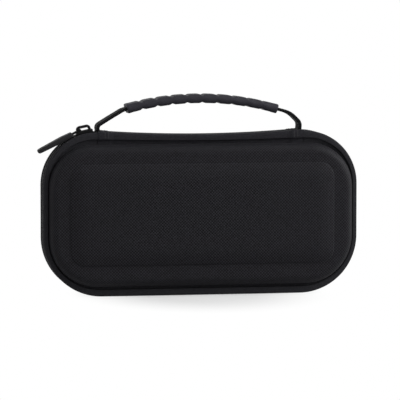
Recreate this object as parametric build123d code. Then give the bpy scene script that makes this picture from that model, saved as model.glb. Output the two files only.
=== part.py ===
from build123d import *
import os
from math import asin, atan, cos, degrees, radians, sin, tan

os.makedirs("parts", exist_ok=True)

# Sizes in mm. X runs along the case, the front faces -Y, Z is up, and z = 0 is the zip edge it stands on.
case_width = 262.0
case_height = 135.0
top_corner = 44.0
bottom_corner = 48.0

# Each moulded half: rim, wall, face and the raised panel on the face.
rim_depth = 10.5
rim_inset = 7.2
side_gain = 2.2
rim_round = 1.0
shell_wall = 3.6
wall_draft = 8.0
face_depth = 20.0
face_round = 6.5
panel_width = 220.0
panel_height = 83.6
panel_corner = 12.0
panel_bevel = 11.0
panel_rise = 3.0
panel_soft = 9.0

# Zip: the tape swells out beside the rim, over a groove, and rolls to a channel that carries the coil.
tape_thick = 1.1
tape_seat = 1.0
tape_swell = 2.0
groove_edge = 4.9
groove_rise = 1.7
tape_roll = 2.4
tape_land = 5.7
channel_slope = 1.2
tape_edge = 1.4
coil_gap = 0.4
coil_width = 3.4
coil_height = 2.4

# Binding round the inside of each rim.
binding_inset = 10.5
binding_width = 2.2
binding_height = 2.2

# Fabric spine between the handle's ends, high at its ends and sagging between them.
spine_thick = 1.2
spine_seat = 1.2
spine_band = 3.4
spine_roll = 2.2
spine_high = 1.6
spine_sag = 3.2
lining_thick = 0.7

# Handle: flat webbing through a lobed rubber grip.
webbing_thick = 2.2
webbing_width = 15.0
root_gap = 3.5
webbing_tail = 7.0
webbing_bend = 7.0
webbing_run = 18.0
bulge_left = 3.7
bulge_right = 1.6
bulge_up = 6.5
grip_inset = 20.8
grip_arch = 8.6
grip_crown = 27.0
grip_thick = 7.5
grip_width = 20.0
grip_round = 2.8
grip_fit = 0.25
grip_slide = 1.7
lobe_count = 10
notch_radius = 2.2
notch_depth = 0.8

# Slider on the top left corner, its tail towards the open zip, and the pull through its bridge.
slider_angle = 11.4
slider_length = 13.0
slider_room = 1.2
slider_taper = 0.8
slider_gap = 0.5
slider_lift = 0.8
plate_thick = 1.4
flange_reach = 0.7
flange_fit = 0.3
post_half = 1.0
bridge_height = 4.2
bridge_thick = 1.5
bridge_width = 3.2
bar_thick = 1.8
bar_place = -3.3
bar_lift = 1.2
link_length = 10.0
link_eye = 4.2
link_width = 6.6
link_thick = 1.4
link_gap = 0.35
pull_lie = 15.6
pull_start = 7.5
pull_end = 38.5
pull_width = 9.0
pull_thick = 3.4
pull_tip = 2.2
pull_hole = 3.6

# Inside: the net pocket in the lid, and the elastic straps that hold the console in the base.
net_thick = 0.6
net_top = 96.0
elastic_thick = 1.6
elastic_height = 10.0
hold_place = 70.0
hold_width = 24.0

w, h = case_width / 2, case_height / 2
zip_depth = rim_depth + tape_swell
webbing_root = w - top_corner - root_gap
tape_start = webbing_root + webbing_thick / 2 + 0.3
front = Plane(origin=(0, 0, h), x_dir=(1, 0, 0), z_dir=(0, -1, 0))


def closed(points, radii):
    return make_face(FilletPolyline(*points, radius=radii, close=True))


def sheet(inset):
    """The case's outline drawn in by inset, but less at its sides, flat on XY."""
    s = Rectangle(case_width - 2 * (inset - side_gain), case_height - 2 * inset)
    s = fillet(s.vertices().group_by(Axis.Y)[-1], top_corner - inset)
    return fillet(s.vertices().group_by(Axis.Y)[0], bottom_corner - inset)


def slab(face, low, high):
    return extrude(Pos(0, 0, low) * face, high - low)


def moulding(skin):
    """A shell's outer form drawn in by skin: drafted wall, rounded edge and bevelled panel."""
    face = face_depth - skin
    block = extrude(Pos(0, 0, rim_depth) * sheet(rim_inset + skin), face - rim_depth, taper=wall_draft)
    block = fillet(block.faces().sort_by(Axis.Z)[-1].edges(), face_round - skin)
    shift = skin * tan(atan(panel_rise / panel_bevel) / 2)
    foot_x, foot_y = panel_width - 2 * shift, panel_height - 2 * shift
    foot = RectangleRounded(foot_x, foot_y, panel_corner - shift)
    crown = RectangleRounded(foot_x - 2 * panel_bevel, foot_y - 2 * panel_bevel, panel_corner / 2)
    block += loft([Pos(0, 0, face) * foot, Pos(0, 0, face + panel_rise) * crown], ruled=True)
    at_face = block.edges().filter_by_position(Axis.Z, face - 0.01, face + 0.01)
    at_foot = [e for e in at_face if e.bounding_box().max.X < foot_x / 2 + 0.1
               and abs(e.center().Y) < foot_y / 2 + 0.1 and abs(e.center().X) < foot_x / 2 + 0.1]
    return fillet(at_foot + list(block.faces().sort_by(Axis.Z)[-1].edges()), panel_soft)


def zip_run(profile):
    """A section in (depth, height over the zip edge) taken round the sides and bottom of the case."""
    path = FilletPolyline((-tape_start, h), (-w, h), (-w, -h), (w, -h), (w, h), (tape_start, h),
                          radius=(top_corner, bottom_corner, bottom_corner, top_corner))
    at = Plane(origin=(-tape_start, h, 0), x_dir=(0, 0, 1), z_dir=(-1, 0, 0))
    return sweep(at * profile, path=path)


# The moulded EVA shells, alike front and back.
shell = moulding(0) - moulding(shell_wall) - slab(sheet(rim_inset + shell_wall), 0, rim_depth + 0.01)
rim_edge = shell.faces().sort_by(Axis.Z)[0].outer_wire().edges()
shell = fillet(rim_edge, rim_round)
front_shell = front * shell
export_step(front_shell, "parts/front_shell.step")
export_step(mirror(front_shell, Plane.XZ), "parts/rear_shell.step")

# Zip tape: seated on the rim, swelling out past the groove, then down into the channel below the coil.
low = rim_inset + tape_seat
channel_half = zip_depth - tape_land
channel_floor = channel_half - channel_slope


def flank(out, edge, top):
    """The side of a band drawn in by out: up from the rim, out over the groove and up to its top."""
    lean = out * tan(atan(tape_swell / groove_rise) / 2) - edge
    return [(rim_depth - out, lean), (zip_depth - out, lean + groove_rise), (zip_depth - out, top - out)]


inside = flank(tape_thick, groove_edge, 0)
tape = zip_run(closed(
    [(rim_depth, -low), *flank(0, groove_edge, 0), (channel_half, 0), (channel_floor, -coil_height),
     (tape_edge, -coil_height), (tape_edge, -coil_height - 1), (channel_floor + 0.6, -coil_height - 1),
     (channel_half + 0.5, -tape_thick), *inside[::-1], (rim_depth - tape_thick, -low)],
    [0, 0.8, 1.4, tape_roll, 1, 0.8, 0, 0, 1, 0.8, tape_roll - tape_thick, 0.3, 0.8 + tape_thick, 0]))
front_zip_tape = front * tape
export_step(front_zip_tape, "parts/front_zip_tape.step")
export_step(mirror(front_zip_tape, Plane.XZ), "parts/rear_zip_tape.step")

# Slider frame: x runs towards the closed end, z outwards from the zip edge.
a = radians(slider_angle)
slide = Plane(origin=(top_corner - w - top_corner * sin(a), 0, case_height - top_corner + top_corner * cos(a)),
              x_dir=(cos(a), 0, sin(a)), z_dir=(-sin(a), 0, cos(a)))

# Coil halves, one on each tape, that end inside the slider.
near = coil_gap / 2
coil = zip_run(closed([(near, -coil_height), (near, 0), (near + coil_width, 0), (near + coil_width, -coil_height)],
                      [0, 0.9, 1.2, 0]))
front_zip_coil = front * coil - slide * Pos(21, 0, 0) * Box(40, 20, 20)
export_step(front_zip_coil, "parts/front_zip_coil.step")
export_step(mirror(front_zip_coil, Plane.XZ), "parts/rear_zip_coil.step")

# Binding rolled over the inner corner of each rim.
ring = slab(sheet(binding_inset) - sheet(binding_inset + binding_width), rim_depth - binding_height, rim_depth)
ring = fillet(ring.faces().sort_by(Axis.Z)[0].edges(), binding_height * 0.4)
front_edge_binding = front * ring
export_step(front_edge_binding, "parts/front_edge_binding.step")
export_step(mirror(front_edge_binding, Plane.XZ), "parts/rear_edge_binding.step")

# Spine and its lining: the same arch as the tape, carried from the front rim to the rear rim.
spine_half = webbing_root - webbing_thick / 2


def arch(x, rise, out, thick):
    """Arch section across the spine at x, its top at rise over the zip edge and its sides in by out."""
    points, radii = [], []
    for skin, way in ((out, 1), (out + thick, -1)):
        side = [(rim_depth - skin, -rim_inset - spine_seat)] + flank(skin, spine_band + groove_rise - rise, rise)
        line = side + [(-y, z) for y, z in side[::-1]]
        bend = [0, 0.8 + skin, spine_roll - skin, spine_roll - skin]
        points += line[::way]
        radii += (bend + bend[::-1])[::way]
    at = Plane(origin=(x, 0, case_height), x_dir=(0, 1, 0), z_dir=(1, 0, 0))
    return at * closed(points, radii)


def spine(out, thick):
    ends = [(-spine_half, spine_high), (0, spine_high - spine_sag), (spine_half, spine_high)]
    return loft([arch(x, rise, out, thick) for x, rise in ends])


export_step(spine(0, spine_thick), "parts/spine_panel.step")
export_step(spine(spine_thick, lining_thick), "parts/spine_lining.step")

# Handle webbing: up from each end of the spine, out in a bulge, less on the right, then in to the arch.
grip_chord = 2 * (webbing_root - grip_inset)
grip_radius = ((grip_chord / 2) ** 2 + grip_arch ** 2) / (2 * grip_arch)
crown = case_height + grip_crown
slope = asin(grip_chord / 2 / grip_radius)
end_x, end_z = grip_chord / 2, crown - grip_arch


def side(bulge):
    return [(webbing_root, case_height - webbing_tail), (webbing_root, case_height),
            (webbing_root + bulge, case_height + bulge_up),
            (end_x + webbing_run * cos(slope), end_z - webbing_run * sin(slope)), (end_x, end_z)]


right = FilletPolyline(*[(x, 0, z) for x, z in side(bulge_right)], radius=webbing_bend)
left = FilletPolyline(*[(-x, 0, z) for x, z in reversed(side(bulge_left))], radius=webbing_bend)
over = ThreePointArc((end_x, 0, end_z), (0, 0, crown), (-end_x, 0, end_z))
path = Wire(list(right.edges()) + list(over.edges()) + list(left.edges()))
at = Plane(origin=path @ 0, x_dir=(0, 1, 0), z_dir=path % 0)
export_step(sweep(at * Rectangle(webbing_width, webbing_thick), path=path), "parts/handle_strap.step")

# Grip: a rounded sleeve, notched between its lobes above and below, that has slid to the right on the arch.
at = Plane(origin=over @ 0, x_dir=(0, 1, 0), z_dir=over % 0)
grip = sweep(at * RectangleRounded(grip_width, grip_thick, grip_round), path=over.edge())
grip -= sweep(at * Rectangle(webbing_width + 2 * grip_fit, webbing_thick + 2 * grip_fit), path=over.edge())
reach = grip_thick / 2 + notch_radius - notch_depth
for i in range(1, lobe_count):
    turn = slope * (2 * i / lobe_count - 1)
    for r in (grip_radius + reach, grip_radius - reach):
        notch = Pos(r * sin(turn), 0, crown - grip_radius + r * cos(turn)) * Rot(90, 0, 0)
        grip -= notch * Cylinder(notch_radius, grip_width + 2)
middle = Pos(0, 0, crown - grip_radius)
grip = middle * Rot(0, degrees(grip_slide / grip_radius), 0) * middle.inverse() * grip
export_step(grip, "parts/handle_grip.step")

# Slider: two plates joined by a post at the nose, flanges over the coil, and the bridge for the pull.
s = slider_length / 2
slider_nose = channel_half - slider_room
slider_tail = slider_nose - slider_taper
flange_inner = coil_gap / 2 + coil_width + flange_fit
plan = closed([(-s, -slider_tail), (s, -slider_nose), (s, slider_nose), (-s, slider_tail)], [2, 1.5, 1.5, 2])
top = slider_gap + plate_thick
under = -coil_height - 1 - slider_lift
body = slab(plan, slider_gap, top) + slab(plan, under - plate_thick + 0.2, under)
body += slab(plan - Rectangle(slider_length + 2, 2 * flange_inner), -flange_reach, slider_gap)
post = closed([(1.6, 0), (4.4, -post_half), (s - 0.4, -post_half), (s - 0.4, post_half), (4.4, post_half)], 0)
body += slab(post, under, slider_gap)
body -= Pos(2.5 - s, 0, top) * Rot(0, -20, 0) * Box(5, 2 * slider_nose, 2, align=(Align.MAX, Align.CENTER, Align.MIN))
b0, b1, b2 = top - 1.0, top + bridge_height, top + bridge_height - bridge_thick
bow = closed([(-s + 0.5, b0), (-s + 0.5, b1), (s - 1.6, b1), (s - 0.8, b0),
              (s - 2.3, b0), (s - 2.9, b2), (-s + 0.5 + bridge_thick, b2), (-s + 0.5 + bridge_thick, b0)],
             [0, 2.8, 2.4, 0, 0, 1.0, 1.3, 0])
bow = Plane.XZ.offset(-bridge_width / 2) * bow
body += extrude(bow, bridge_width)
export_step(slide * body, "parts/slider_body.step")

# Pull frame: x runs out along the pull from the bar under the bridge, z is its upper face.
pull = slide * Pos(bar_place, 0, top + bar_lift) * Rot(0, -pull_lie, 0) * Rot(0, 0, 180)
eye = Pos(link_eye / 2, 0, 0) * Box(link_eye, bridge_width + 2 * link_gap, 9)
tongue = Pos(link_length / 2, 0, 0) * Box(link_length, link_width, link_thick) - eye
link = tongue + Rot(90, 0, 0) * Cylinder(bar_thick / 2, link_width)
export_step(pull * link, "parts/pull_link.step")

# Moulded tab over the link's tail, thick in the middle, thin and holed at the tip.
mid = pull_start + 9
edge = [(pull_start, -1.3), (pull_start, 1.3), (mid, pull_thick / 2), (pull_end, pull_tip / 2),
        (pull_end, -pull_tip / 2), (mid, -pull_thick / 2)]
tab = closed(edge, [0.5, 0.5, 30, 0.9, 0.9, 30])
tab = extrude(Plane.XZ.offset(-pull_width / 2) * tab, pull_width)
shape = closed([(pull_start, -link_width / 2 - 0.5), (pull_start, link_width / 2 + 0.5), (mid, pull_width / 2),
                (pull_end, pull_width / 2), (pull_end, -pull_width / 2), (mid, -pull_width / 2)],
               [1, 1, 20, 3.5, 3.5, 20])
tab = tab & slab(shape, -5, 5)
hole = Pos(pull_end - 4.2, 0, 0) * SlotOverall(pull_hole + 1.4, pull_hole, rotation=90)
tab = tab - slab(hole, -5, 5) - tongue
export_step(pull * tab, "parts/pull_tab.step")

# Net pocket on the lid's binding with an elastic top edge.
seat = rim_depth - binding_height
net = slab(sheet(binding_inset + 0.2) & Pos(0, -h, 0) * Rectangle(case_width, 2 * net_top), seat - net_thick, seat)
export_step(front * net, "parts/mesh_pocket.step")
band = Pos(0, net_top + elastic_height / 2 - h, 0) * Rectangle(case_width, elastic_height)
export_step(front * slab(sheet(binding_inset + 0.2) & band, seat - elastic_thick, seat), "parts/pocket_elastic.step")

# Elastic straps over the base, sewn to its binding above and below.
for name, x in (("left", -hold_place), ("right", hold_place)):
    hold = slab(Pos(x, 0, 0) * Rectangle(hold_width, case_height - 2 * binding_inset - 0.4), seat - elastic_thick, seat)
    export_step(mirror(front * hold, Plane.XZ), f"parts/{name}_retaining_strap.step")
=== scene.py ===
from math import asin, atan2, cos, exp, pi, radians, sin, tan

import bmesh
import bpy
from mathutils import Matrix, Vector
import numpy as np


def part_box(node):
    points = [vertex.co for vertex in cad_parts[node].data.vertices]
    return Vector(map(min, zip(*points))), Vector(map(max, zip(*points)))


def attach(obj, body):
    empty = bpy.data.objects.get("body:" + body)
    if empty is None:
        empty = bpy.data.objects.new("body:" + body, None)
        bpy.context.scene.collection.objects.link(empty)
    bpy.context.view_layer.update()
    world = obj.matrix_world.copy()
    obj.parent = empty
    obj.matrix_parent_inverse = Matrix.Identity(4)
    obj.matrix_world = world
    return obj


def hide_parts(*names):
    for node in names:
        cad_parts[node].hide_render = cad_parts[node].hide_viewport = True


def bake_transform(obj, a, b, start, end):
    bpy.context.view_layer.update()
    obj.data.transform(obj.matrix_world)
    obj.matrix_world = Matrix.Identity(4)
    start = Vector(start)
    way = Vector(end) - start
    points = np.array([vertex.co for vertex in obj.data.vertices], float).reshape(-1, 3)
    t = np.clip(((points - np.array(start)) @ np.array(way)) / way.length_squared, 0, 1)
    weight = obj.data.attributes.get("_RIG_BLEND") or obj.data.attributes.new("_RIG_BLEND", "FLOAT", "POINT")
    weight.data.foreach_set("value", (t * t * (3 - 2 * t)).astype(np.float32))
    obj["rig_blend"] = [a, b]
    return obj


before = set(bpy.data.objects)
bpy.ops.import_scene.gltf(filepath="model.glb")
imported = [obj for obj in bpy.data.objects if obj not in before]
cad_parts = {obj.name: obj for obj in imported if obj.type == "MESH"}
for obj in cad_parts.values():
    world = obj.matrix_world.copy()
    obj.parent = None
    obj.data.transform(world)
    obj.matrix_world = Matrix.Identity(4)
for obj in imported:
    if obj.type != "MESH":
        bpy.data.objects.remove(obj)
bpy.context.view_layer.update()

# Moulded shells. Each half of the case is a sheet of EVA foam with woven nylon glued outside and a
# brushed knit inside, heated and pressed in a mould that leaves a drafted wall, a rounded edge and a
# raised panel that steps up from the face and swells to a flat middle.
mm = 0.001
quarter = pi / 2
case_half, case_top = 131 * mm, 135 * mm
top_corner, bottom_corner = 44 * mm, 48 * mm
side_gain = 3.6 * mm
top_drop = 2.0 * mm
face_depth = 20 * mm
wall_corners = ((8, 10.5, 0), (8.4, 20, 7), (16.5, 20.05, 0))
panel_half, panel_low, panel_high = 110 * mm, 25.7 * mm, 109.3 * mm
panel_corner = 12 * mm
panel_profile = ((-0.8, 0.1), (0, 0.15), (0.3, 0.65), (0.8, 0.95), (2, 1.25), (3.5, 1.65), (5.5, 2.1),
                 (8, 2.55), (11, 2.88), (14, 3))
lining_corners = ((11.6, 10.55, 0), (12, 16.6, 3.5), (17.5, 16.65, 0))
lining_profile = ((3.2, -3.3), (4.2, -2.7), (6, -1.8), (9, -1), (14, -0.5))
weave_pitch = 1.25 * mm
corner_steps, side_steps, long_steps, wall_steps = 16, 10, 40, 8
corner_share = 0.55


class Yarn:
    """A value on its way through a finish: sums and products of yarns add Math nodes."""

    def __init__(self, tree, socket=None):
        self.tree, self.socket = tree, socket

    def node(self, kind, settings=None, sockets=None, out=0):
        """A node of this kind: its settings are made first, then its sockets get values or links."""
        made = self.tree.nodes.new("ShaderNode" + kind)
        for name, value in (settings or {}).items():
            setattr(made, name, value)
        for name, value in (sockets or {}).items():
            if isinstance(value, Yarn):
                self.tree.links.new(value.socket, made.inputs[name])
            else:
                made.inputs[name].default_value = value
        return Yarn(self.tree, made.outputs[out])

    def math(self, operation, *values):
        return self.node("Math", {"operation": operation}, dict(enumerate(values)))

    def __add__(self, other):
        return self.math("ADD", self, other)

    def __sub__(self, other):
        return self.math("SUBTRACT", self, other)

    def __rsub__(self, other):
        return self.math("SUBTRACT", other, self)

    def __mul__(self, other):
        return self.math("MULTIPLY", self, other)

    def __truediv__(self, other):
        return self.math("DIVIDE", self, other)

    __radd__, __rmul__ = __add__, __mul__

    def between(self, dark, light):
        """A colour that goes from dark to light as this value goes from 0 to 1."""
        return self.node("Mix", {"data_type": "RGBA"}, {0: self, 6: (*dark, 1), 7: (*light, 1)}, 2)

    def wave(self, pitch):
        """From 0 to 1 and back once in every pitch."""
        return self.math("SINE", self * (2 * pi / pitch)) * 0.5 + 0.5

    def speckle(self, scale, detail=2.0):
        place = self.node("TexCoord", out="Object")
        return self.node("TexNoise", None, {"Vector": place, "Scale": scale, "Detail": detail})

    def cloth(self):
        """How far along and how far across the piece's own cloth this point lies."""
        place = self.node("UVMap", {"uv_map": "cloth"})
        return [place.node("SeparateXYZ", None, {0: place}, axis) for axis in (0, 1)]

    def bump(self, height, depth, strength):
        return self.node("Bump", None, {"Height": height, "Distance": depth, "Strength": strength})


def finish(paint):
    """The material that paint describes, under its name."""
    made = bpy.data.materials.new(paint.__name__)
    made.use_nodes = True
    tree = made.node_tree
    tree.nodes.clear()
    surface = tree.nodes.new("ShaderNodeOutputMaterial").inputs["Surface"]
    tree.links.new(paint(Yarn(tree)).socket, surface)
    return made


def plain_weave(yarn, pitch):
    """Height of a plain weave on the cloth, and 1 where the warp is on top, 0 where the weft is."""
    along, across = (way / pitch for way in yarn.cloth())
    over = (along.math("FLOOR", along) + across.math("FLOOR", across)) * 0.5
    over = over.math("FRACT", over) * 2
    a, b = (way.math("FRACT", way) * 2 - 1 for way in (along, across))
    warp = (1 - a * a) * (1 - b * b * 0.35)
    weft = (1 - b * b) * (1 - a * a * 0.35)
    return over * warp + (1 - over) * weft, over


@finish
def woven_nylon(yarn):
    height, over = plain_weave(yarn, weave_pitch)
    fleck = yarn.speckle(620, 3) - 0.5
    # Warp cells are painted lighter than weft cells, a painted highlight for the way the warp catches the
    # light; yarn crowns and random flecks add to the tone.
    tone = over * 0.8 + height * 0.15 + fleck * 0.9
    return yarn.node("BsdfPrincipled", None, {
        "Base Color": tone.between((0.0004, 0.0004, 0.0005), (0.0165, 0.0161, 0.0195)),
        "Roughness": 0.62 - 0.2 * height, "Normal": yarn.bump(height, 0.16 * mm, 0.7),
        "Specular IOR Level": 0.06, "Sheen Weight": 0.01, "Sheen Roughness": 0.4})


@finish
def brushed_knit(yarn):
    nap = yarn.speckle(520, 3) * 0.6 + yarn.speckle(120) * 0.4
    along, across = yarn.cloth()
    courses = along.wave(2.2 * mm) * 0.5 + across.wave(1.8 * mm) * 0.5
    tone = nap * 0.85 + courses * 0.15
    return yarn.node("BsdfPrincipled", None, {
        "Base Color": tone.between((0.004, 0.004, 0.0045), (0.03, 0.03, 0.0325)),
        "Roughness": 0.95 - 0.1 * nap, "Normal": yarn.bump(nap, 0.15 * mm, 0.3),
        "Specular IOR Level": 0.05, "Sheen Weight": 0.02, "Sheen Roughness": 0.5})


def lay(place, legs):
    """Places along a strip that starts at place: each leg has a length, a turn inwards and its steps."""
    places = [place]
    for length, turn, steps in legs:
        step = Matrix.Translation((length / steps, 0, 0))
        if turn:
            centre = Matrix.Translation((0, 0, -length / turn))
            step = centre @ Matrix.Rotation(turn / steps, 4, "Y") @ centre.inverted()
        for _ in range(steps):
            place = place @ step
            places.append(place)
    return places


def outline(bm, half, low, high, low_corner, high_corner, depth):
    """A closed line round the case, half wide to each side, between two heights, at a depth."""
    start = Matrix.Translation((high_corner - half, -depth, high)) @ Matrix.Rotation(pi, 4, "Z")
    side = (high - low - low_corner - high_corner, 0, side_steps)
    upper, lower = ((corner * quarter, quarter, corner_steps) for corner in (high_corner, low_corner))
    foot, head = ((2 * (half - corner), 0, long_steps) for corner in (low_corner, high_corner))
    places = lay(start, (upper, side, lower, foot, lower, side, upper, head))
    first = vert = bm.verts.new(start.translation)
    edges = []
    for here, there in zip(places, places[1:-1]):
        drawn = bmesh.ops.extrude_vert_indiv(bm, verts=[vert])
        vert = drawn["verts"][0]
        edges += drawn["edges"]
        bmesh.ops.transform(bm, matrix=there @ here.inverted(), verts=[vert])
    return edges + [bm.edges.new((vert, first))]


def rounded(corners, steps=4):
    """Points of a line through corners, each given as y, z and the radius that it is rounded to, in mm."""
    points = []
    for i, (y, z, radius) in enumerate(corners):
        here = Vector((y, z))
        if not radius:
            points.append(here)
            continue
        back, on = ((Vector(corners[j][:2]) - here).normalized() for j in (i - 1, i + 1))
        turn = pi - back.angle(on)
        start = here + back * radius * tan(turn / 2)
        middle = (back + on).normalized() * radius / cos(turn / 2)
        spoke = start - here - middle
        way = 1 if back.x * on.y - back.y * on.x < 0 else -1
        for k in range(steps + 1):
            points.append(here + middle + Matrix.Rotation(way * turn * k / steps, 2) @ spoke)
    return points


def rim_line(bm, inset, depth, drop=0):
    """The rim's outline drawn in by inset, less at its sides, and lowered by drop at its top."""
    return outline(bm, case_half - inset + side_gain, inset, case_top - inset - drop,
                   bottom_corner - inset, top_corner - inset, depth)


def piece(name, bm, *finishes, crease=50):
    """The finished mesh as an object at the origin, smooth but for edges sharper than crease."""
    mesh = bpy.data.meshes.new(name)
    bm.to_mesh(mesh)
    bm.free()
    for made in finishes:
        mesh.materials.append(made)
    mesh.shade_smooth()
    mesh.set_sharp_from_angle(angle=radians(crease))
    obj = bpy.data.objects.new(name, mesh)
    bpy.context.scene.collection.objects.link(obj)
    return obj


def belongs(obj, body, slot, *nodes):
    """Lets the object move with its body in place of the CAD nodes that it shows."""
    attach(obj, body)
    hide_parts(*nodes)


def turned_back(bm):
    """The rear copy of a front piece."""
    bmesh.ops.scale(bm, vec=(1, -1, 1), verts=bm.verts)
    bmesh.ops.reverse_faces(bm, faces=bm.faces)


def moulded_side(bm, corners, profile):
    """One side of a shell, from its rim over the wall to the panel's middle, and the edges of its rim."""
    wall = [rim_line(bm, inset * mm, depth * mm, top_drop) for inset, depth in rounded(corners, wall_steps)]
    steps = []
    for inset, rise in profile:
        inset *= mm
        corner = panel_corner - inset * corner_share
        steps.append(outline(bm, panel_half - inset, panel_low + inset, panel_high - inset, corner, corner,
                             face_depth + rise * mm))
    for outer, inner in zip(wall + steps, wall[1:] + steps):
        bmesh.ops.bridge_loops(bm, edges=outer + inner)
    level = {round(v.co.z, 6) for e in steps[-1] for v in e.verts}
    rails = [e for e in steps[-1] if {round(v.co.z, 6) for v in e.verts} in ({min(level)}, {max(level)})]
    bmesh.ops.grid_fill(bm, edges=rails)
    return wall[0]


halves = (("front", False, "lid"), ("rear", True, "base"))
for side, rear, body in halves:
    bm = bmesh.new()
    inner_edge = moulded_side(bm, lining_corners, lining_profile)
    lining = set(bm.faces)
    bmesh.ops.bridge_loops(bm, edges=inner_edge + moulded_side(bm, wall_corners, panel_profile))
    bmesh.ops.recalc_face_normals(bm, faces=bm.faces)
    cloth = bm.loops.layers.uv.new("cloth")
    flat_half = case_half - bottom_corner
    for face in bm.faces:
        face.material_index = face in lining
        for loop in face.loops:
            x, y, z = loop.vert.co
            out = Vector((x - max(-flat_half, min(x, flat_half)),
                          z - max(bottom_corner, min(z, case_top - top_corner))))
            out = out.normalized() * max(0, face_depth + y)
            loop[cloth].uv = x + out.x, z + out.y
    if rear:
        turned_back(bm)
    shell = piece(f"{side}_shell_moulding", bm, woven_nylon, brushed_knit)
    belongs(shell, body, "shell_fabric", f"{side}_shell")

# Zip tapes. A woven polyester tape is sewn inside each rim, swells out over a groove as a soft corded
# edge, rolls over and turns down into a channel, where its inner edge carries the coil.
tape_start = 84.9 * mm
tape_wall = 1.0 * mm
tape_gain, gain_reach, crest_depth = 2.0 * mm, 5 * mm, 7 * mm
tape_step = 2.6 * mm
tape_corners = ((10.5, -10.8, 0), (10.5, -6.1, 0.3), (12.5, -5.6, 0.5), (12.5, 0, 1.6), (6.8, 0, 1),
                (5.6, -2.4, 0.8), (3.2, -2.4, 0), (1.4, -2.4, 0))
zip_start = Matrix.Translation((-tape_start, 0, case_top)) @ Matrix.Rotation(pi, 4, "Z")


def zip_legs(pitch):
    """The zip's way down the left side, along the foot and up the right side, in steps of about pitch."""
    legs = ((case_half - top_corner - tape_start, 0), (top_corner * quarter, quarter),
            (case_top - top_corner - bottom_corner, 0), (bottom_corner * quarter, quarter),
            (2 * (case_half - bottom_corner), 0))
    legs += legs[3::-1]
    return [(length, turn, max(1, round(length / pitch))) for length, turn in legs]


def section(bm, place, points):
    """A strip's cross section in mm drawn at place, with how far across it each point lies."""
    for way in ("along", "across", "inset"):
        bm.verts.layers.float.new(way)
    across, inset = (bm.verts.layers.float[way] for way in ("across", "inset"))
    verts = []
    for y, z in points:
        vert = bm.verts.new(place @ Vector((0, y * mm, z * mm)))
        vert[inset] = -z * mm
        if verts:
            vert[across] = verts[-1][across] + (vert.co - verts[-1].co).length
        verts.append(vert)
    return [bm.edges.new(pair) for pair in zip(verts, verts[1:])]


def sweep(bm, edges, places):
    """Draws a section along places, noting on each point how far along it lies."""
    along = bm.verts.layers.float["along"]
    for here, there in zip(places, places[1:]):
        drawn = bmesh.ops.extrude_edge_only(bm, edges=edges)["geom"]
        verts = [part for part in drawn if isinstance(part, bmesh.types.BMVert)]
        edges = [part for part in drawn if isinstance(part, bmesh.types.BMEdge)]
        bmesh.ops.transform(bm, matrix=there @ here.inverted(), verts=verts)
        for vert in verts:
            vert[along] += (there.translation - here.translation).length
    return edges


def facing(bm, way):
    """Turns the strip's outer side towards way, judged at the point that lies furthest that way."""
    way = Vector(way)
    bmesh.ops.recalc_face_normals(bm, faces=bm.faces)
    if max(bm.faces, key=lambda f: f.calc_center_median().dot(way)).normal.dot(way) < 0:
        bmesh.ops.reverse_faces(bm, faces=bm.faces)


def cloth_map(bm):
    """The strip's lengths along and across as its cloth map."""
    cloth = bm.loops.layers.uv.new("cloth")
    along, across = (bm.verts.layers.float[way] for way in ("along", "across"))
    for face in bm.faces:
        for loop in face.loops:
            loop[cloth].uv = loop.vert[along], loop.vert[across]


@finish
def tape_twill(yarn):
    along, across = yarn.cloth()
    twill = (along + across).wave(0.62 * mm)
    rib = across.wave(0.9 * mm)
    tone = twill * 0.4 + yarn.speckle(900) * 0.6
    return yarn.node("BsdfPrincipled", None, {
        "Base Color": tone.between((0.003, 0.003, 0.0034), (0.03, 0.0297, 0.0337)),
        "Roughness": 0.85 - 0.15 * rib, "Normal": yarn.bump(twill * 0.6 + rib * 0.4, 0.12 * mm, 0.6),
        "Specular IOR Level": 0.03})


for side, rear, body in halves:
    bm = bmesh.new()
    sweep(bm, section(bm, zip_start, rounded(tape_corners)), lay(zip_start, zip_legs(tape_step)))
    inset = bm.verts.layers.float["inset"]
    for v in bm.verts:
        if v.co.y < -crest_depth:
            v.co.x *= 1 + tape_gain * min(1, v[inset] / gain_reach) / (case_half - v[inset])
    facing(bm, (0, -1, 0))
    bmesh.ops.solidify(bm, geom=bm.faces[:], thickness=tape_wall)
    cloth_map(bm)
    if rear:
        turned_back(bm)
    tape = piece(f"{side}_zip_tape_woven", bm, tape_twill)
    belongs(tape, body, "zip_tape", f"{side}_zip_tape")

# Zip coil. A nylon monofilament is wound into loops and sewn along each tape's edge, so that the two
# rows of loops lie in turn, half a pitch apart.
coil_pitch = 1.4 * mm
wire = 0.5 * mm
loop_half = 0.7 * mm
loop_head, loop_tail = 0.5 * mm, 3.5 * mm
loop_middle = -1.2 * mm
open_turns = 12


@finish
def coil_nylon(yarn):
    drawn = yarn.speckle(1600)
    return yarn.node("BsdfPrincipled", None, {
        "Base Color": drawn.between((0.004, 0.004, 0.0045), (0.013, 0.013, 0.0145)),
        "Roughness": 0.5 + 0.2 * drawn, "Normal": yarn.bump(drawn, 0.05 * mm, 0.2),
        "Specular IOR Level": 0.08})


def coil_loop():
    """One loop of the coil, its head at the zip's middle line, as a mesh."""
    bm = bmesh.new()
    ring = bmesh.ops.create_circle(bm, segments=6, radius=wire, matrix=Matrix.Translation(
        (0, loop_tail, loop_middle + loop_half)) @ Matrix.Rotation(quarter, 4, "X"))
    bm.verts.layers.float.new("along")
    head = Matrix.Translation((0, loop_head, loop_middle))
    bend = head @ Matrix.Rotation(pi / 4, 4, "X") @ head.inverted()
    back = Matrix.Translation((0, loop_head - loop_tail, 0))
    places = [Matrix(), back]
    for _ in range(4):
        places.append(bend @ places[-1])
    places.append(back.inverted() @ places[-1])
    sweep(bm, bm.edges[:], places)
    bmesh.ops.recalc_face_normals(bm, faces=bm.faces)
    mesh = bpy.data.meshes.new("coil_loop")
    bm.to_mesh(mesh)
    bm.free()
    return mesh


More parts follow.
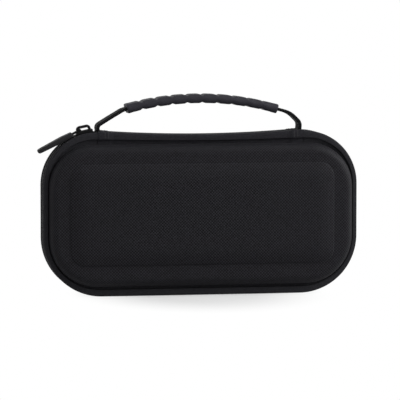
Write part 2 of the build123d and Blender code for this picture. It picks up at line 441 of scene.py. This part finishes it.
def repeat(bm, mesh, places):
    """A copy of mesh at each place."""
    for place in places:
        count = len(bm.verts)
        bm.from_mesh(mesh)
        bm.verts.ensure_lookup_table()
        bmesh.ops.transform(bm, matrix=place, verts=bm.verts[count:])


coil_places = lay(zip_start, zip_legs(coil_pitch))[open_turns:-1]
half_step = Matrix.Translation((coil_pitch / 2, 0, 0))
for side, rear, body in halves:
    bm = bmesh.new()
    repeat(bm, coil_loop(), [place @ half_step if rear else place for place in coil_places])
    if rear:
        turned_back(bm)
    belongs(piece(f"{side}_zip_coil_loops", bm, coil_nylon), body, "zip_coil", f"{side}_zip_coil")

# Edge bindings. A grosgrain tape is folded over the raw edge inside each rim and sewn through, so that
# it stands a little proud of the lining all the way round.
binding_corners = ((10.5, 10.5, 0), (10.5, 8.3, 0.9), (12.7, 8.3, 0.9), (12.7, 10.5, 0))


@finish
def binding_grosgrain(yarn):
    place = yarn.node("TexCoord", out="Object")
    x, z = (place.node("SeparateXYZ", None, {0: place}, axis) for axis in (0, 2))
    ribs = (x + z).wave(0.8 * mm) * (x - z).wave(0.8 * mm)
    tone = ribs * 0.5 + yarn.speckle(800) * 0.5
    return yarn.node("BsdfPrincipled", None, {
        "Base Color": tone.between((0.003, 0.003, 0.0033), (0.015, 0.015, 0.0165)),
        "Roughness": 0.75 - 0.15 * ribs, "Normal": yarn.bump(ribs, 0.1 * mm, 0.5),
        "Specular IOR Level": 0.12})


for side, rear, body in halves:
    bm = bmesh.new()
    lines = [rim_line(bm, inset * mm, depth * mm) for inset, depth in rounded(binding_corners)]
    for outer, inner in zip(lines, lines[1:] + lines[:1]):
        bmesh.ops.bridge_loops(bm, edges=outer + inner)
    bmesh.ops.recalc_face_normals(bm, faces=bm.faces)
    if rear:
        turned_back(bm)
    binding = piece(f"{side}_edge_binding_tape", bm, binding_grosgrain)
    belongs(binding, body, "binding", f"{side}_edge_binding")

# Spine. A strip of the same nylon, lined, joins the two rims between the handle's ends. It is folded
# under and sewn down with two rows of thread at each end, laps over the ends of the zip tapes beside the
# handle, and sags a little in the middle.
spine_half, spine_edge = 82.4 * mm, 12.5 * mm
spine_wall = 1.7 * mm
spine_sag = 3.2 * mm
spine_corners = ((10.5, -11, 0), (10.5, -6.1, 0.3), (12.5, -5.6, 0.5), (12.5, 0.6, 1.6), (8, 0.6, 0),
                 (4, 0.6, 0), (0, 0.6, 0))
held_below, held_above = -11 * mm, 0.6 * mm
hem, hem_step, hem_lift = 7 * mm, 0.5 * mm, 0.35 * mm
lap, lap_inner = 3.4 * mm, 7.8 * mm
touch = 0.01 * mm
stitch_rows = (77.6 * mm, 80.4 * mm)
stitch_rise = ((3, 0, 2), (3.1, quarter, 2), (8, 0, 3))
stitch_foot = 4.05 * mm
stitch_size = (1.0 * mm, 0.26 * mm, 0.22 * mm)


@finish
def spine_nylon(yarn):
    height, over = plain_weave(yarn, 0.7 * mm)
    fleck = yarn.speckle(700, 3) * 2 - 1
    tone = over * 0.3 + height * 0.3 + fleck * 0.4 + 0.25
    return yarn.node("BsdfPrincipled", None, {
        "Base Color": tone.between((0.002, 0.002, 0.0023), (0.0235, 0.023, 0.027)),
        "Roughness": 0.8 - 0.15 * height, "Normal": yarn.bump(height, 0.12 * mm, 0.6),
        "Specular IOR Level": 0.03})


@finish
def sewing_thread(yarn):
    twist = yarn.speckle(2200)
    return yarn.node("BsdfPrincipled", None, {
        "Base Color": twist.between((0.008, 0.008, 0.009), (0.022, 0.022, 0.024)),
        "Roughness": 0.5 + 0.2 * twist, "Specular IOR Level": 0.25})


def sag(x, height):
    """How far the spine hangs below its ends, at x and at a height over the zip edge."""
    held = min(1, max(0, (height - held_below) / (held_above - held_below)))
    return spine_sag * max(0, 1 - (x / spine_half) ** 2) * held


def stitch_mesh():
    bm = bmesh.new()
    bmesh.ops.create_uvsphere(bm, u_segments=6, v_segments=5, radius=1)
    bmesh.ops.rotate(bm, matrix=Matrix.Rotation(quarter, 3, "Y"), verts=bm.verts)
    bmesh.ops.scale(bm, vec=stitch_size, verts=bm.verts)
    mesh = bpy.data.meshes.new("stitch")
    bm.to_mesh(mesh)
    bm.free()
    return mesh


stitch = stitch_mesh()
upright = Matrix(((0, -1, 0, 0), (0, 0, -1, 0), (1, 0, 0, 0), (0, 0, 0, 1)))
for side, rear, _ in halves:
    bm = bmesh.new()
    start = Matrix.Translation((-spine_half, 0, case_top))
    fold, step = (hem, 0, 5), (hem_step, 0, 1)
    run = (2 * (spine_half - hem - hem_step), 0, 50)
    sweep(bm, section(bm, start, [(-y, z) for y, z in rounded(spine_corners)]),
          lay(start, (fold, step, run, step, fold)))
    along = bm.verts.layers.float["along"]
    ends = [e for e in bm.edges
            if all(abs(v.co.x) > spine_half - touch and v.co.y < -lap_inner for v in e.verts)]
    for v in bmesh.ops.extrude_edge_only(bm, edges=ends)["geom"]:
        if isinstance(v, bmesh.types.BMVert):
            reach = lap if v.co.x > 0 else -lap
            v.co.x += reach
            v[along] += reach
    facing(bm, (0, 0, 1))
    bm.normal_update()
    for v in bm.verts:
        if abs(v.co.x) > spine_half - hem - touch:
            v.co += v.normal * hem_lift
        v.co.z -= sag(v.co.x, v.co.z - case_top)
    outside = set(bm.faces)
    bmesh.ops.solidify(bm, geom=bm.faces[:], thickness=spine_wall)
    for face in bm.faces:
        face.material_index = face not in outside
    cloth_map(bm)
    count = len(bm.faces)
    for at in (x * way for x in stitch_rows for way in (-1, 1)):
        low = Vector((at, -spine_edge - hem_lift, case_top - stitch_foot - sag(at, 0)))
        rise = [(length * mm, turn, steps) for length, turn, steps in stitch_rise]
        repeat(bm, stitch, lay(Matrix.Translation(low) @ upright, rise)[:-1])
    bm.faces.ensure_lookup_table()
    for face in bm.faces[count:]:
        face.material_index = 2
    if rear:
        turned_back(bm)
    spine = piece(f"{side}_spine_fabric", bm, spine_nylon, brushed_knit, sewing_thread)
    if rear:
        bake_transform(spine, "base", "spine", start=(0, 12 * mm, 130 * mm), end=(0, 7 * mm, 136 * mm))
    else:
        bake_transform(spine, "spine", "lid", start=(0, -7 * mm, 136 * mm), end=(0, -12 * mm, 130 * mm))
    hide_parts("spine_panel", "spine_lining")

# Handle webbing. One length of flat polypropylene webbing comes up between the spine and each zip end,
# bulges out and runs in to the grip.
webbing_half, webbing_thick = 7.5 * mm, 2.6 * mm
webbing_points = (-7.5, -7, -5, -2.5, 0, 2.5, 5, 7, 7.5)
selvedge_round = 0.7 * mm
webbing_root = Vector((83.5 * mm, 0, 128 * mm))
left_rise = ((5, 0, 3), (2.036, -0.5818, 4), (1.155, 0, 1), (6.4, 1.6, 12), (8.706, 0, 5), (0.503, 0.02, 1),
             (11.132, 0, 7), (3.64, 0.26, 4))
right_rise = ((6.557, 0, 4), (0.49, -0.0723, 1), (3.679, 0, 3), (5.3, 0.8665, 8), (4.267, 0, 3),
              (9.192, 0.504, 8), (8.676, 0, 6))
grip_radius, grip_half = 232.9 * mm, 62.7 * mm
grip_turn = 2 * asin(grip_half / grip_radius)
grip_run = grip_radius * grip_turn


@finish
def handle_webbing(yarn):
    along, across = yarn.cloth()
    chevron = (along + across.math("ABSOLUTE", across - webbing_half) * 0.6).wave(1.5 * mm)
    height = chevron * 0.6 + across.wave(1.25 * mm) * 0.4
    tone = height * 0.6 + yarn.speckle(900) * 0.4
    return yarn.node("BsdfPrincipled", None, {
        "Base Color": tone.between((0.0006, 0.0006, 0.0007), (0.0075, 0.0075, 0.0083)),
        "Roughness": 0.75 - 0.2 * chevron, "Normal": yarn.bump(height, 0.3 * mm, 0.9),
        "Specular IOR Level": 0.05})


def soften(bm, edges, offset, segments):
    return bmesh.ops.bevel(bm, geom=edges, offset=offset, offset_type="OFFSET", segments=segments,
                           profile=0.5, affect="EDGES", material=-1, clamp_overlap=True)


bm = bmesh.new()
root = Matrix.Translation(webbing_root) @ Matrix(((0, 0, 1, 0), (0, -1, 0, 0), (1, 0, 0, 0), (0, 0, 0, 1)))
legs = right_rise + ((grip_run / mm, grip_turn, 50),) + left_rise[::-1]
strap_places = lay(root, [(length * mm, turn, steps) for length, turn, steps in legs])
sweep(bm, section(bm, root @ Matrix.Translation((0, 0, webbing_thick / 2)),
                  [(y, 0) for y in webbing_points]), strap_places)
facing(bm, (0, 0, 1))
bmesh.ops.solidify(bm, geom=bm.faces[:], thickness=webbing_thick)
cloth_map(bm)
selvedge = [e for e in bm.edges if e.calc_face_angle(0) > radians(60) and
            min(abs(v.co.y) for v in e.verts) > webbing_half - touch and
            abs(e.verts[0].co.y - e.verts[1].co.y) < touch]
soften(bm, selvedge, selvedge_round, 3)
belongs(piece("handle_webbing_strap", bm, handle_webbing), "spine", "webbing", "handle_strap")

# Handle grip. A soft rubber sleeve is moulded round the webbing, with ten shallow lobes for the fingers
# parted by fine notches, a wavy parting line along its sides and slightly flared, squared ends.
grip_rise, grip_height = 3.75, 162 * mm
grip_corners = ((10, 0, 0), (10, grip_rise, 3.4), (5, grip_rise, 0), (0, grip_rise, 0))
grip_centre = Matrix.Translation((0, 0, grip_height - grip_radius))
grip_slide = 1.7 * mm
lobes, lobe_steps = 10, 16
notch_depth, notch_reach = 1.0 * mm, 1.5 * mm
notch_end, notch_fade = 9.7 * mm, 1.5 * mm
lobe_wave = 0.35 * mm
flare, flare_share = (0.96, 1.03, 1.04, 1.02), 0.25


@finish
def grip_rubber(yarn):
    grain = yarn.speckle(1900, 3)
    tone = grain * 0.5 + yarn.speckle(60) * 0.5
    return yarn.node("BsdfPrincipled", None, {
        "Base Color": tone.between((0.006, 0.0057, 0.0084), (0.0132, 0.0126, 0.0184)),
        "Roughness": 0.5 + 0.15 * grain, "Normal": yarn.bump(grain, 0.1 * mm, 0.35),
        "Specular IOR Level": 0.18})


bm = bmesh.new()
quadrant = rounded(grip_corners)
upper = quadrant + [Vector((-y, z)) for y, z in quadrant[-2::-1]]
ring = upper + [Vector((y, -z)) for y, z in upper[-2:0:-1]]
slid = grip_centre @ Matrix.Rotation(grip_slide / grip_radius, 4, "Y") @ grip_centre.inverted()
first = slid @ strap_places[sum(steps for _, _, steps in right_rise)]
grip_places = lay(first, ((grip_run, grip_turn, lobes * lobe_steps),))
shaped = []
for number, place in enumerate(grip_places):
    end = min(number, len(grip_places) - 1 - number)
    size = flare[end] if end < len(flare) else 1
    shaped.append(place @ Matrix.Diagonal((1, 1 + (size - 1) * flare_share, size, 1)))
edges = section(bm, shaped[0], ring)
edges.append(bm.edges.new((edges[-1].verts[1], edges[0].verts[0])))
bmesh.ops.edgenet_fill(bm, edges=edges)
bmesh.ops.edgenet_fill(bm, edges=sweep(bm, edges, shaped))
for v in bm.verts:
    spoke = Vector((v.co.x, 0, v.co.z - grip_centre.translation.z))
    lift = spoke.length - grip_radius
    phase = (atan2(v.co.x, spoke.z) - grip_slide / grip_radius) / grip_turn * lobes
    move = lobe_wave * cos(2 * pi * phase) * max(0, 1 - (lift / (grip_rise * mm)) ** 2)
    if abs(phase) < lobes / 2 - 0.5:
        off = abs(phase - round(phase)) * grip_run / lobes
        top_share = min(1, max(0, (notch_end - abs(v.co.y)) / notch_fade))
        move -= notch_depth * exp(-(off / notch_reach) ** 2) * top_share * (1 if lift > 0 else -1)
    v.co += spoke.normalized() * move
cloth_map(bm)
bmesh.ops.recalc_face_normals(bm, faces=bm.faces)
belongs(piece("handle_grip_rubber", bm, grip_rubber), "spine", "grip_rubber", "handle_grip")

# Slider and pull. The slider is a die-cast body with a bridge, painted satin black. A bent metal link
# through the bridge carries a moulded tab with a hole near its tip.
weld = 0.001 * mm
cast_crease = 35


@finish
def slider_metal(yarn):
    wear = yarn.speckle(420, 4)
    return yarn.node("BsdfPrincipled", None, {
        "Base Color": wear.between((0.0005, 0.0005, 0.0006), (0.003, 0.003, 0.0033)),
        "Roughness": 0.4 + 0.25 * wear, "Normal": yarn.bump(yarn.speckle(2600), 0.05 * mm, 0.15),
        "Specular IOR Level": 0.08})


@finish
def pull_moulding(yarn):
    grain = yarn.speckle(1500, 3)
    return yarn.node("BsdfPrincipled", None, {
        "Base Color": grain.between((0.003, 0.003, 0.0034), (0.0095, 0.0095, 0.0105)),
        "Roughness": 0.5 + 0.2 * grain, "Normal": yarn.bump(grain, 0.08 * mm, 0.3),
        "Specular IOR Level": 0.15})


def eased(name, node, made, coat, width, body, slot):
    """A copy of a CAD node grown by its coat, with its sharp edges eased as a casting's are."""
    bm = bmesh.new()
    bm.from_mesh(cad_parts[node].data)
    bmesh.ops.remove_doubles(bm, verts=bm.verts, dist=weld)
    bmesh.ops.dissolve_limit(bm, angle_limit=radians(1), verts=bm.verts, edges=bm.edges)
    bm.normal_update()
    grown = [(v, v.co + v.normal * v.calc_shell_factor() * coat) for v in bm.verts]
    for v, place in grown:
        v.co = place
    sharp = [e for e in bm.edges if e.is_manifold and e.calc_face_angle(0) > radians(cast_crease)]
    soften(bm, sharp, width, 2)
    belongs(piece(name, bm, made, crease=cast_crease), body, slot, node)


eased("slider_casting", "slider_body", slider_metal, 0.3 * mm, 0.25 * mm, "slider", "slider_metal")
eased("pull_link_bent", "pull_link", slider_metal, 0, 0.2 * mm, "pull", "slider_metal")
eased("pull_tab_moulded", "pull_tab", pull_moulding, 0.5 * mm, 0.25 * mm, "pull", "pull_moulding")

# Net pocket. A stretch net, knitted open, is sewn to the lid's binding round its sides and foot, and its
# top edge is caught under an elastic band.
net_inset, net_depth = 10.7 * mm, 8.0 * mm
net_top = 96 * mm
net_pitch = 3.4 * mm
net_cell, net_rows, net_columns = 8 * mm, 10, 32
net_slant, net_open = 1.6, 0.62


@finish
def stretch_net(yarn):
    along, across = yarn.cloth()
    slanted = along * net_slant
    strands = [way.math("ABSOLUTE", way.math("FRACT", way) - 0.5) * 2
               for way in ((slanted + across) / net_pitch, (slanted - across) / net_pitch)]
    cover = strands[0].math("MAXIMUM", *strands)
    return yarn.node("BsdfPrincipled", None, {
        "Base Color": yarn.speckle(1200).between((0.005, 0.005, 0.0055), (0.016, 0.016, 0.0175)),
        "Roughness": 0.85 - 0.15 * cover, "Alpha": cover.math("GREATER_THAN", cover, net_open),
        "Normal": yarn.bump(cover, 0.2 * mm, 0.6), "Specular IOR Level": 0.12})


bm = bmesh.new()
bmesh.ops.edgenet_fill(bm, edges=rim_line(bm, net_inset, net_depth))
bmesh.ops.bisect_plane(bm, geom=bm.verts[:] + bm.edges[:] + bm.faces[:], plane_co=(0, 0, net_top),
                       plane_no=(0, 0, 1), clear_outer=True)
for way, low, count in (((0, 0, 1), net_inset, net_rows), ((1, 0, 0), -case_half, net_columns)):
    for number in range(1, count):
        bmesh.ops.bisect_plane(bm, geom=bm.verts[:] + bm.edges[:] + bm.faces[:],
                               plane_co=Vector(way) * (low + number * net_cell), plane_no=way)
cloth = bm.loops.layers.uv.new("cloth")
for face in bm.faces:
    for loop in face.loops:
        loop[cloth].uv = loop.vert.co.x, loop.vert.co.z
bmesh.ops.recalc_face_normals(bm, faces=bm.faces)
net = piece("pocket_net", bm, stretch_net)
belongs(net, "lid", "net", "mesh_pocket")

# Pocket elastic. A ribbed woven elastic closes the net's top edge. It runs straight across the lid, and
# its ends are caught in the binding.


@finish
def ribbed_elastic(yarn):
    along, across = yarn.cloth()
    ribs, gather = across.wave(1.3 * mm), along.wave(1.0 * mm)
    tone = ribs * 0.5 + gather * 0.2 + yarn.speckle(900) * 0.4
    return yarn.node("BsdfPrincipled", None, {
        "Base Color": tone.between((0.004, 0.004, 0.0045), (0.02, 0.02, 0.022)),
        "Roughness": 0.8 - 0.2 * ribs,
        "Normal": yarn.bump(ribs * 0.7 + gather * 0.3, 0.2 * mm, 0.7), "Specular IOR Level": 0.12})


def elastic_strip(name, node, body, axes, steps):
    """A flat elastic in the box of its CAD node, rounded: axes are its length, width and face."""
    low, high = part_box(node)
    size = high - low
    way, wide, out = (Vector(axis) for axis in axes)
    length, half, thick = (abs(size.dot(axis)) for axis in (way, wide / 2, out))
    start = Matrix((way, wide, out)).transposed().to_4x4()
    start.translation = (low + high) / 2 - way * length / 2 + out * thick / 2
    bm = bmesh.new()
    lip = half / mm
    sweep(bm, section(bm, start, [(y, 0) for y in (-lip, -lip * 0.6, 0, lip * 0.6, lip)]),
          lay(start, ((length, 0, steps),)))
    facing(bm, out)
    bmesh.ops.solidify(bm, geom=bm.faces[:], thickness=thick)
    cloth_map(bm)
    soften(bm, [e for e in bm.edges if e.calc_face_angle(0) > radians(60)], thick * 0.3, 2)
    belongs(piece(name, bm, ribbed_elastic), body, "elastic", node)


elastic_strip("pocket_elastic_band", "pocket_elastic", "lid", ((1, 0, 0), (0, 0, -1), (0, 1, 0)), 60)

# Retaining straps. Two broad elastics of the same weave are sewn to the base's binding above and below,
# and hold the console down.
for side in ("left", "right"):
    elastic_strip(f"{side}_retaining_elastic", f"{side}_retaining_strap", "base",
                  ((0, 0, -1), (1, 0, 0), (0, -1, 0)), 30)

# Stage. The case stands on a card in a white room: round the case the card shows its grey, a painted
# shadow that adds to the real one, and further off it glows plain white. A large soft lamp is high on
# the right, with weaker ones in front, at each side and above, and a long lens looks from a little above
# and to the left.
floor_size = 6
# The card's painted shadow fades from grey at the case to white between these distances, keeping this share
# of white glow at the case.
shadow_near, shadow_far, shadow_glow = 0.05, 0.15, 0.22
room_light = 0.2
view_far, view_wide = 2.4, 0.3315
view_turn, view_lift = radians(-9.8), radians(4.6)
view_aim = Vector((0.65 * mm, 0, 77.6 * mm))


def seen_rays(yarn):
    """1 for rays from the camera and from mirrors and glass, 0 for light on its way."""
    seen = yarn.node("LightPath", out="Is Camera Ray")
    for ray in ("Is Glossy Ray", "Is Transmission Ray"):
        seen = seen.math("MAXIMUM", seen, yarn.node("LightPath", out=ray))
    return seen


@finish
def painted_shadow_card(yarn):
    place = yarn.node("TexCoord", out="Object")
    spread = yarn.node("VectorMath", {"operation": "MULTIPLY"}, {0: place, 1: (1.35, 1, 1)})
    far = yarn.node("VectorMath", {"operation": "LENGTH"}, {0: spread}, "Value")
    # Painted shadow: near the case the card is mostly its grey diffuse colour, so it is darker there than
    # the white glow further off, also where no real shadow falls.
    far = yarn.node("MapRange", {"interpolation_type": "SMOOTHSTEP"}, {
        "Value": far, "From Min": shadow_near, "From Max": shadow_far, "To Min": shadow_glow,
        "To Max": 1.0})
    card_grey = yarn.speckle(3).between((0.6, 0.6, 0.6), (0.62, 0.62, 0.62))
    card = yarn.node("BsdfDiffuse", None, {"Color": card_grey})
    glow = yarn.node("Emission", None, {"Color": (1, 1, 1, 1), "Strength": 1.0})
    return yarn.node("MixShader", None, {0: seen_rays(yarn) * far, 1: card, 2: glow})


bm = bmesh.new()
bmesh.ops.create_grid(bm, x_segments=8, y_segments=8, size=floor_size / 2)
piece("floor_card", bm, painted_shadow_card)

world = bpy.data.worlds.new("white_room")
world.use_nodes = True
bpy.context.scene.world = world
world.node_tree.nodes.clear()
room = Yarn(world.node_tree)
dim = room.node("Background", None, {"Color": (1, 1, 1, 1), "Strength": room_light})
bright = room.node("Background", None, {"Color": (1, 1, 1, 1), "Strength": 1.0})
mixed = room.node("MixShader", None, {0: seen_rays(room), 1: dim, 2: bright})
surface = world.node_tree.nodes.new("ShaderNodeOutputWorld").inputs["Surface"]
world.node_tree.links.new(mixed.socket, surface)


def facing_case(way):
    """Turns a lamp or camera that stands in this direction to look back at the case."""
    return way.to_track_quat("Z", "Y").to_matrix().to_4x4()


def lamp(name, way, far, size, level):
    """A square soft lamp in a direction from the case; a white card facing it shows level."""
    light = bpy.data.lights.new(name, "AREA")
    light.size = size
    light.energy = level * pi * pi * far * far
    way = Vector(way).normalized()
    obj = bpy.data.objects.new(name, light)
    obj.matrix_world = Matrix.Translation(way * far + view_aim) @ facing_case(way)
    bpy.context.scene.collection.objects.link(obj)


lamp("key_lamp", (0.78, -0.4, 0.48), 1.8, 1.0, 1.25)
lamp("fill_lamp", (0.3, -0.95, 0.06), 2.0, 1.2, 0.22)
lamp("side_lamp", (0.96, 0.05, 0.25), 1.5, 0.8, 0.4)
lamp("left_lamp", (-0.93, -0.25, 0.25), 1.5, 0.8, 0.3)
lamp("top_lamp", (0, -0.3, 0.95), 1.6, 1.0, 0.22)

camera = bpy.data.objects.new("camera", bpy.data.cameras.new("camera"))
camera.data.lens = camera.data.sensor_width * view_far / view_wide
camera.data.clip_end = 20
way = Vector((sin(view_turn) * cos(view_lift), -cos(view_turn) * cos(view_lift), sin(view_lift)))
camera.matrix_world = Matrix.Translation(way * view_far + view_aim) @ facing_case(way)
bpy.context.scene.collection.objects.link(camera)
bpy.context.scene.camera = camera
bpy.context.scene.view_settings.view_transform = "Standard"
